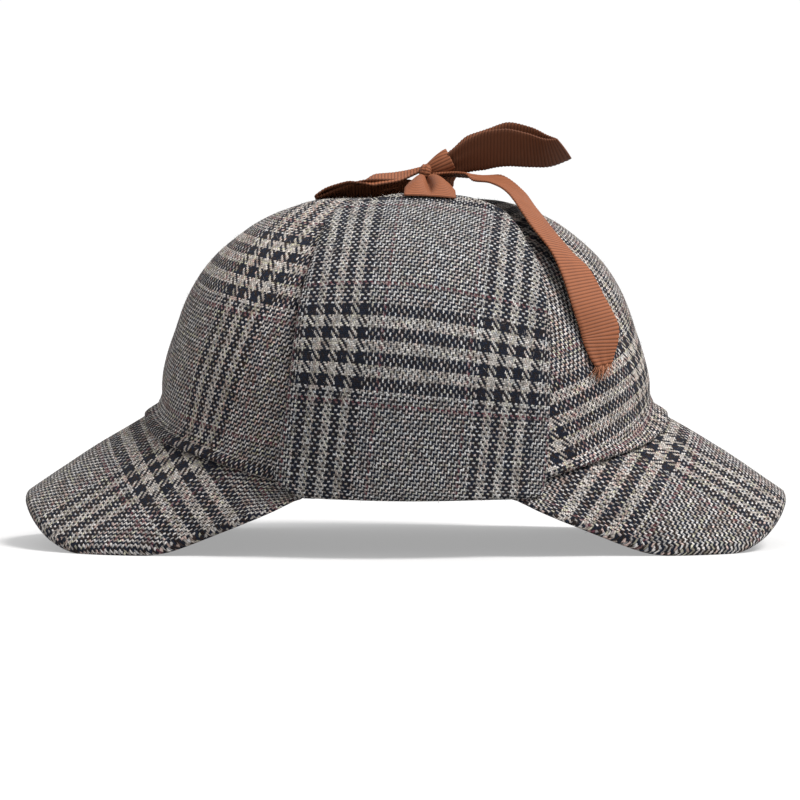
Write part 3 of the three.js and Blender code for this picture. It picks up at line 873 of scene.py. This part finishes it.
def makeFlap(name, side, node):
    place = flapSurface(side)
    rows, columns = flaps["rows"], flaps["columns"]
    spine, climbs = [place(row / rows, 0.5)[0] for row in range(rows + 1)], [0.0]
    for low, high in zip(spine, spine[1:]):
        climbs.append(climbs[-1] + (high - low).length)
    lean = math.tan(math.radians(flaps["lean"]))
    crowding = flaps["crowding"]  # the columns stand closer toward the edges
    first = 0.5 - 0.5 * math.cos(math.pi * crowding)
    outer, inner, coords = [], [], []
    for row in range(rows + 1):
        outerRow, innerRow, coordRow = [], [], []
        for column in range(columns + 1):
            along = 0.5 - 0.5 * math.cos(math.pi * (crowding + (1 - 2 * crowding) * column / columns))
            along = (along - first) / (1 - 2 * first)
            point, normal, x, fromSide = place(row / rows, along)
            fromEdge = min(fromSide, climbs[-1] - climbs[row])
            soft = clamp(fromEdge / flaps["edgeSoft"])
            thickness = hat["flapThickness"] * mix(flaps["edgeShare"], 1, math.sqrt(1 - (1 - soft) ** 2))
            fromStitch = (fromEdge - flaps["stitchInset"]) / flaps["stitchDipWidth"]
            dip = flaps["stitchDip"] * math.exp(-(fromStitch**2))
            wave = flapWave(point)
            outerRow.append(point + normal * (hat["flapClearance"] + thickness - dip + wave))
            innerRow.append(point + normal * (hat["flapClearance"] - flaps["backInset"] + min(wave, 0)))
            climb = climbs[row]
            coordRow.append((
                flaps["warpStart"] + (-side * x - lean * climb) / tweed["warpPitch"],
                flaps["weftStart"] + (climb - side * lean * x) / tweed["weftPitch"],
            ))
        outer.append(outerRow)
        inner.append(innerRow)
        coords.append(coordRow)
    flap = wallPiece(name, outer, inner, coords, looks["flap"], [node], flaps["edge"], 5)


makeFlap("nearFlapCloth", -1, "near_ear_flap")
makeFlap("farFlapCloth", 1, "far_ear_flap")
print("ear flaps made")


# Fuzz: short loose hairs that stand a little off the wool
fuzz = dict(pale=8000, dark=4000, shortest=0.7, longest=2.1, width=0.06, lift=0.35, lowest=4.0, seed=5)


def makeFuzz(name, count, look, seed):
    chance = random.Random(seed)
    pieces = [one for one in bpy.data.objects if one.name.startswith("gore_") or one.name.endswith("Cloth")]
    outside = [face for piece in pieces for face in piece.data.polygons
               if face.material_index == 0 and face.center.z > fuzz["lowest"] * millimetre]
    points, faces, coords = [], [], []
    for face in chance.choices(outside, weights=[face.area for face in outside], k=count):
        root, normal = face.center / millimetre, face.normal
        along = Vector((chance.gauss(0, 1), chance.gauss(0, 1), chance.gauss(0, 1)))
        along = (along - normal * along.dot(normal)).normalized()
        side = along.cross(normal) * (fuzz["width"] / 2)
        length = chance.uniform(fuzz["shortest"], fuzz["longest"])
        middle = root + along * (length * 0.5) + normal * (length * fuzz["lift"])
        tip = root + along * length + normal * (length * chance.uniform(-0.1, 0.7))
        start = len(points)
        points += [root - side, root + side, middle - side, middle + side, tip]
        faces += [(start, start + 1, start + 3, start + 2), (start + 2, start + 3, start + 4)]
        coords += [(0, 0)] * 5
    meshPiece(name, points, faces, coords, look, [])


makeFuzz("paleFuzz", fuzz["pale"], looks["paleHair"], fuzz["seed"])
makeFuzz("darkFuzz", fuzz["dark"], looks["darkHair"], fuzz["seed"] + 1)
print("fuzz made")


# Ribbons: ribbed strips with a saw-tooth woven edge
ribbons = dict(
    thickness=0.7,
    ribRise=0.1,
    tooth=0.25,
    stepsAcross=10,
    stepsAcrossTie=30,
    stepsPerRib=4,
    spineSteps=400,
    tangentStep=0.004,
    pleatRise=1.6,
    cup=-0.24,
    edge=0.4,
    creaseDepth=1.6,
    creaseWidth=0.07,
    lobeRise=2.2,
    farFold=((9.0, 6.5, -6.2), (0.3, 0.35, 0.89), 0.6),
)


def curveThrough(places):  # a smooth curve through the places, as in the solids
    knots = [places[0] * 2 - places[1], *places, places[-1] * 2 - places[-2]]

    def read(t):
        i = min(int(t * (len(places) - 1)), len(places) - 2)
        share = t * (len(places) - 1) - i
        p0, p1, p2, p3 = knots[i : i + 4]
        gaps = [max((b - a).length ** 0.5, 1e-4) for a, b in ((p0, p1), (p1, p2), (p2, p3))]
        slope1 = ((p1 - p0) / gaps[0] - (p2 - p0) / (gaps[0] + gaps[1]) + (p2 - p1) / gaps[1]) * gaps[1]
        slope2 = ((p2 - p1) / gaps[1] - (p3 - p1) / (gaps[1] + gaps[2]) + (p3 - p2) / gaps[2]) * gaps[1]
        a = 2 * p1 - 2 * p2 + slope1 + slope2
        b = -3 * p1 + 3 * p2 - 2 * slope1 - slope2
        return ((a * share + b) * share + slope1) * share + p1

    return read


def sectionsOverCrown(rows, side):
    places = []
    for row in rows:
        direction = towards(side * math.radians(row["bearing"]), math.radians(row["turn"]))
        normal = skinNormal(direction)
        places.append((skinPoint(direction) + normal * row["lift"] * hat["ribbonLift"], normal, row["wide"]))
    sections = []
    for i, (middle, normal, wide) in enumerate(places):
        before, after = places[max(i - 1, 0)][0], places[min(i + 1, len(places) - 1)][0]
        sections.append((middle, normal.cross(after - before).normalized(), wide))
    return sections


def sectionsOfLoop(rows, facing, reach, depth):
    sections = []
    for row in rows:
        rise = row["rise"] * hat["ribbonWidth"]
        offset = Vector((facing * row["along"] * reach, row["depth"] * depth, rise))
        lean, slant = math.radians(row["lean"]), math.radians(row["slant"])
        across = Vector((-facing * math.sin(slant), math.cos(slant) * math.sin(lean),
                         math.cos(slant) * math.cos(lean)))
        sections.append((knotCentre + offset, across, row["wide"]))
    return sections


def sectionsByFace(rows):
    middles = [Vector((row["x"], row["y"], row["z"])) for row in rows]
    sections = []
    for i, row in enumerate(rows):
        run = middles[min(i + 1, len(rows) - 1)] - middles[max(i - 1, 0)]
        face = towards(math.radians(row["bearing"]), math.radians(row["turn"]))
        sections.append((middles[i], face.cross(run).normalized(), row["wide"]))
    return sections


# A ribbon's back faces take the darker back look unless told otherwise: painted shade
def makeRibbon(name, sections, node, pleats, creased=False, look="ribbon", under="ribbonBackPaintedShade"):
    path = curveThrough([section[0] for section in sections])
    across = curveThrough([section[1] for section in sections])
    spine = [path(i / ribbons["spineSteps"]) for i in range(ribbons["spineSteps"] + 1)]
    length = sum((b - a).length for a, b in zip(spine, spine[1:]))
    count = int(length / hat["ribPitch"] * ribbons["stepsPerRib"])
    stepsAcross = ribbons["stepsAcrossTie" if creased else "stepsAcross"]
    face, back, coords = [], [], []
    run, last = 0.0, None
    for i in range(count + 1):
        t = i / count
        middle = path(t)
        if last:
            run += (middle - last).length
        last = middle
        sideways = across(t).normalized()
        ahead, behind = min(t + ribbons["tangentStep"], 1), max(t - ribbons["tangentStep"], 0)
        tangent = (path(ahead) - path(behind)).normalized()
        normal = tangent.cross(sideways).normalized()
        place = t * (len(sections) - 1)
        low = min(int(place), len(sections) - 2)
        wide = mix(sections[low][2], sections[low + 1][2], place - low) * hat["ribbonWidth"]
        gathered = 1 - clamp(wide / hat["ribbonWidth"])
        ridge = abs(math.sin(math.pi * run / hat["ribPitch"]))
        faceRow, backRow, coordRow = [], [], []
        for k in range(stepsAcross + 1):
            u = k / stepsAcross - 0.5
            fold = pleats * gathered * math.cos(u * math.pi * 5) * ribbons["pleatRise"]
            if creased:
                shape = clamp(t * 2.5) * clamp(1.3 - gathered)
                fold += shape * ribbons["lobeRise"] * math.sin(2 * math.pi * abs(u))
                fold -= shape * ribbons["creaseDepth"] * math.exp(-((u / ribbons["creaseWidth"]) ** 2))
            cup = ribbons["cup"] * (4 * u * u - 0.33) * (1 - gathered)
            edge = wide + 2 * ribbons["tooth"] * ridge * (abs(u) > 0.49)
            point = middle + sideways * u * edge + normal * (fold + cup)
            rise = ribbons["thickness"] / 2 + ribbons["ribRise"] * ridge
            faceRow.append(point + normal * rise)
            backRow.append(point - normal * rise)
            coordRow.append(((u + 0.5) * hat["ribbonWidth"], run))
        face.append(faceRow)
        back.append(backRow)
        coords.append(coordRow)
    piece = wallPiece(name, face, back, coords, looks[look], [node], ribbons["edge"], 2,
                      looks[under])
    length * millimetre
    return length


# The far tail leaves the knot as a turned fold before it goes over to the far side
farTailSections = sectionsOverCrown(farTailTable, -1)
foldPlace, foldAcross, foldWide = ribbons["farFold"]
farTailSections.insert(1, (knotCentre + Vector(foldPlace), Vector(foldAcross), foldWide))
backLoopSections = sectionsOfLoop(backLoopTable, 1, hat["backLoopReach"], hat["loopDepth"])
frontLoopSections = sectionsOfLoop(frontLoopTable, -1, hat["frontLoopReach"], hat["frontLoopDepth"])

ribbonLengths = dict(
    near_tie=makeRibbon("nearTieRibbon", sectionsOverCrown(tieTable, -1), "near_tie",
                        0.3, creased=True),
    far_tie=makeRibbon("farTieRibbon", sectionsOverCrown(tieTable, 1), "far_tie",
                       0.3, creased=True),
    # The bow loops take the darker, flatter copy of the ribbon: painted shade
    back_bow_loop=makeRibbon("backLoopRibbon", backLoopSections, "back_bow_loop",
                             0.45, look="ribbonPaintedShade"),
    front_bow_loop=makeRibbon("frontLoopRibbon", frontLoopSections, "front_bow_loop",
                              0.3, look="ribbonPaintedShade", under="ribbon"),
    near_tail=makeRibbon("nearTailRibbon", sectionsByFace(nearTailTable), "near_tail",
                         0.3),
    far_tail=makeRibbon("farTailRibbon", farTailSections, "far_tail",
                        0.3),
)
print("ribbon lengths in millimetres", {k: round(v, 1) for k, v in ribbonLengths.items()})


# The knot: a pleated turn of ribbon, and the gathered sleeve that the back loop opens from.
# Places are in millimetres from the knot's middle
knot = dict(
    around=96,
    steps=44,
    wrapFrom=(-3.6, -1.8, -1.0),
    wrapTo=(0.8, -1.8, -1.9),
    wrapRadius=3.5,
    wrapRoundness=0.35,
    wrapGirth=3.0,
    pleats=3,
    pleatDepth=0.42,
    sleeveFrom=(-0.9, 0.0, -1.3),
    sleeveTo=(8.4, -0.4, 3.0),
    sleeveStart=2.6,
    sleeveEnd=4.5,
    sleeveGirth=3.9,
    lip=0.6,
    gatherDepth=0.45,
)


def rolledRibbon(stations, points, faces, coords, ribGirth):  # rings of (middle, axis, radius, run, wave)
    start = len(points)
    ring = knot["around"]
    for middle, axis, radius, run, wave in stations:
        side = Vector((0, 1, 0))
        up = axis.cross(side).normalized()
        for j in range(ring + 1):
            turn = 2 * math.pi * j / ring
            rib = ribbons["ribRise"] * abs(math.sin(turn * ribGirth / hat["ribPitch"] * math.pi))
            reach = radius + wave * math.sin(3 * turn + run * 0.35) + rib
            points.append(middle + side * (reach * math.cos(turn)) + up * (reach * math.sin(turn)))
            coords.append((run, turn * ribGirth))
    for i in range(len(stations) - 1):
        for j in range(ring):
            a = start + i * (ring + 1) + j
            faces.append((a, a + 1, a + ring + 2, a + ring + 1))
    faces.append(tuple(start + j for j in reversed(range(ring))))
    faces.append(tuple(start + (len(stations) - 1) * (ring + 1) + j for j in range(ring)))


def makeKnot():
    points, faces, coords = [], [], []
    steps = knot["steps"]
    low, high = knotCentre + Vector(knot["wrapFrom"]), knotCentre + Vector(knot["wrapTo"])
    axis = (high - low).normalized()
    stations = []
    for i in range(steps + 1):
        t = i / steps
        pleat = knot["pleatDepth"] * abs(math.cos(math.pi * knot["pleats"] * t))
        ends = math.sin(math.pi * mix(0.06, 0.94, t)) ** knot["wrapRoundness"]
        stations.append((low.lerp(high, t), axis, (knot["wrapRadius"] - pleat) * ends, t * 8, 0.08))
    rolledRibbon(stations, points, faces, coords, knot["wrapGirth"])
    low, high = knotCentre + Vector(knot["sleeveFrom"]), knotCentre + Vector(knot["sleeveTo"])
    axis = (high - low).normalized()
    length = (high - low).length
    stations = []
    for i in range(steps + 1):
        t = i / steps
        radius = mix(knot["sleeveStart"], knot["sleeveEnd"], math.sin(t * math.pi / 2))
        stations.append((low.lerp(high, t), axis, radius, t * length, knot["gatherDepth"] * (0.3 + t)))
    for i in range(1, 5):  # over the sleeve's lip, and back inside it
        angle = math.pi * i / 4
        radius = knot["sleeveEnd"] - knot["lip"] * (1 - math.cos(angle)) / 2
        stations.append((high + axis * knot["lip"] * 0.5 * math.sin(angle), axis, radius, length + i * 0.2,
                         knot["gatherDepth"] * 1.3))
    for t in (0.8, 0.6, 0.4):
        radius = mix(knot["sleeveStart"], knot["sleeveEnd"], t**0.8) - knot["lip"]
        stations.append((low.lerp(high, t), axis, radius, t * length, knot["gatherDepth"] * (0.3 + t)))
    rolledRibbon(stations, points, faces, coords, knot["sleeveGirth"])
    meshPiece("knotRibbon", points, faces, coords, looks["ribbon"], ["ribbon_knot"])


makeKnot()
print("knot made")


# Thin round threads, shared by the frayed yarns and the stitches
def addRing(points, coords, middle, sideways, up, radius, sides, run):
    for k in range(sides):
        angle = 2 * math.pi * k / sides
        points.append(middle + (sideways * math.cos(angle) + up * math.sin(angle)) * radius)
        coords.append((angle, run))


def tubeFaces(start, stations, sides):  # the wall and both ends of a tube whose rings begin at start
    faces = []
    for s in range(stations - 1):
        for k in range(sides):
            a, b = start + s * sides + k, start + s * sides + (k + 1) % sides
            faces.append((a, b, b + sides, a + sides))
    faces.append(tuple(start + k for k in reversed(range(sides))))
    faces.append(tuple(start + (stations - 1) * sides + k for k in range(sides)))
    return faces


# The near tail's frayed end: loose yarns that curl away from its point
fray = dict(
    count=70,
    shortest=1.8,
    longest=6.4,
    radius=0.17,
    sides=4,
    stations=6,
    lean=-0.45,
    spread=0.28,
    curl=0.6,
    sink=0.4,
    seed=11,
)


def makeFray():
    chance = random.Random(fray["seed"])
    sections = sectionsByFace(nearTailTable)
    end, across, wide = sections[-1]
    down = (end - sections[-2][0]).normalized()
    out = across.cross(down).normalized()
    points, faces, coords = [], [], []
    for i in range(fray["count"]):
        u = (i + 0.5) / fray["count"] - 0.5
        root = end - down * fray["sink"] + across * u * wide * hat["ribbonWidth"]
        length = chance.uniform(fray["shortest"], fray["longest"])
        lean = across * chance.gauss(fray["lean"], fray["spread"]) + out * chance.gauss(0, 0.2)
        curl = across * chance.gauss(fray["lean"], 0.45) + out * chance.gauss(0, 0.3)
        start = len(points)
        for s in range(fray["stations"]):
            t = s / (fray["stations"] - 1)
            middle = root + down * (length * t) + lean * (length * t) + curl * (length * t * t * fray["curl"])
            radius = fray["radius"] * (1 - 0.6 * t)
            addRing(points, coords, middle, across, out, radius, fray["sides"], length * t)
        faces += tubeFaces(start, fray["stations"], fray["sides"])
    meshPiece("nearTailFray", points, faces, coords, looks["fray"], [])


makeFray()
print("frayed end made")


# Stitches: a row of short dark threads inside each flap's side and end edges
stitches = dict(
    length=2.1,
    pitch=3.3,
    radius=0.19,
    sides=6,
    stations=5,
    sink=0.1,
    arch=0.22,
    bite=0.08,
    firstAt=1.5,
    lowShare=0.02,
    endShare=0.945,
    endBow=0.012,
    sideSteps=260,
    endSteps=60,
)


def stitchLine():  # up the front edge, over the end and down the back edge, as places on the flap
    def inset(share, fromFront):
        width = (flapFront(share) + flapBack(share)) * hat["flapHalfWidth"]
        along = flaps["stitchInset"] / width
        return along if fromFront else 1 - along

    low, end = stitches["lowShare"], stitches["endShare"]
    sideSteps, endSteps = stitches["sideSteps"], stitches["endSteps"]
    line = []
    for k in range(sideSteps + 1):
        share = mix(low, end, k / sideSteps)
        line.append((share, inset(share, True)))
    for k in range(1, endSteps):
        share = end + stitches["endBow"] * math.sin(math.pi * k / endSteps)
        line.append((share, mix(inset(end, True), inset(end, False), k / endSteps)))
    for k in range(sideSteps + 1):
        share = mix(end, low, k / sideSteps)
        line.append((share, inset(share, False)))
    return line


def stitchRow(name, side):
    place = flapSurface(side)
    height = hat["flapClearance"] + hat["flapThickness"] - flaps["stitchDip"]
    samples, runs = [], [0.0]
    for share, along in stitchLine():
        point, normal, _, _ = place(share, along)
        samples.append((point + normal * (height + flapWave(point) - stitches["sink"]), normal))
    for (a, _), (b, _) in zip(samples, samples[1:]):
        runs.append(runs[-1] + (b - a).length)

    def at(distance):
        k = 0
        while k < len(runs) - 2 and runs[k + 1] < distance:
            k += 1
        share = (distance - runs[k]) / max(runs[k + 1] - runs[k], 1e-6)
        return samples[k][0].lerp(samples[k + 1][0], share), samples[k][1]

    points, faces, coords = [], [], []
    nextStitch = stitches["firstAt"]
    while nextStitch + stitches["length"] < runs[-1]:
        start = len(points)
        for s in range(stitches["stations"]):
            share = s / (stitches["stations"] - 1)
            middle, normal = at(nextStitch + share * stitches["length"])
            ahead, _ = at(nextStitch + share * stitches["length"] + 0.1)
            tangent = (ahead - middle).normalized()
            sideways = tangent.cross(normal).normalized()
            arch = math.sin(math.pi * clamp(share, 0.04, 0.96))
            radius = stitches["radius"] * (0.45 + 0.55 * arch)
            middle = middle + normal * (stitches["arch"] * arch - stitches["bite"])
            addRing(points, coords, middle, sideways, normal, radius, stitches["sides"],
                    share * stitches["length"])
        faces += tubeFaces(start, stitches["stations"], stitches["sides"])
        nextStitch += stitches["pitch"]
    meshPiece(name, points, faces, coords, looks["thread"], [])


stitchRow("nearFlapStitches", -1)
stitchRow("farFlapStitches", 1)
print("stitches made")


# Floor, light and camera
studio = dict(
    distance=1.1,
    elevation=1.8,
    aim=(-0.00223, 0.0, 0.0549),
    pixelsPerMetre=2576.0,
    framePixels=800,
    sensor=36.0,
    keyFrom=(0.97, -0.42, 1.6),
    keyStrength=7.3,
    keySpread=24.0,
    keyColour=(1.0, 0.985, 0.965),
    fillFrom=(-1.9, -0.6, 0.7),
    fillPower=6.5,
    fillSize=1.2,
    fillColour=(1.0, 0.93, 0.88),
    lightsLookAt=(0, 0, 0.07),
    worldStrength=1.02,
    floorSize=6.0,
    floorGlow=0.35,
    floorTones=((0.25, 0.25, 0.255), (0.26, 0.26, 0.26)),
)


def makeFloor():
    mesh = bpy.data.meshes.new("studioFloor")
    size = studio["floorSize"]
    corners = [(-size, -size, 0), (size, -size, 0), (size, size, 0), (-size, size, 0)]
    mesh.from_pydata(corners, [], [(0, 1, 2, 3)])
    look = Look("paleFloor")
    grain = look.grain(look.node("ShaderNodeTexCoord").outputs["Object"], 40.0)
    look.finish(look.colour(grain, *studio["floorTones"]), 0.8 + 0.1 * grain, grain, 0.02, 0.1,
                Emission_Color=(1, 1, 1, 1), Emission_Strength=studio["floorGlow"], Specular_IOR_Level=0.1)
    mesh.materials.append(look.material)
    floor = bpy.data.objects.new("studioFloor", mesh)
    bpy.context.collection.objects.link(floor)


def makeLight(name, kind, place, power, colour, spread):
    lamp = bpy.data.lights.new(name, kind)
    lamp.energy, lamp.color = power, colour
    if kind == "SUN":
        lamp.angle = math.radians(spread)
    else:
        lamp.shape, lamp.size = "DISK", spread
    holder = bpy.data.objects.new(name, lamp)
    holder.location = place
    facing = Vector(studio["lightsLookAt"]) - Vector(place)
    holder.rotation_euler = facing.to_track_quat("-Z", "Y").to_euler()
    bpy.context.collection.objects.link(holder)


makeFloor()
makeLight("keyLight", "SUN", studio["keyFrom"], studio["keyStrength"], studio["keyColour"],
          studio["keySpread"])
makeLight("fillLight", "AREA", studio["fillFrom"], studio["fillPower"], studio["fillColour"],
          studio["fillSize"])

world = bpy.data.worlds.new("whiteStudio")
world.use_nodes = True
background = world.node_tree.nodes["Background"]
background.inputs[0].default_value = (1.0, 1.0, 1.0, 1)
background.inputs[1].default_value = studio["worldStrength"]
bpy.context.scene.world = world
bpy.context.scene.view_settings.view_transform = "Standard"

camera = bpy.data.cameras.new("studioCamera")
camera.sensor_width = studio["sensor"]
camera.lens = studio["sensor"] * studio["distance"] * studio["pixelsPerMetre"] / studio["framePixels"]
camera.clip_start, camera.clip_end = 0.05, 20
holder = bpy.data.objects.new("studioCamera", camera)
tilt = math.radians(studio["elevation"])
holder.location = Vector(studio["aim"]) + Vector((0, -math.cos(tilt), math.sin(tilt))) * studio["distance"]
holder.rotation_euler = (math.pi / 2 - tilt, 0, 0)
bpy.context.collection.objects.link(holder)
bpy.context.scene.camera = holder
print("studio made")
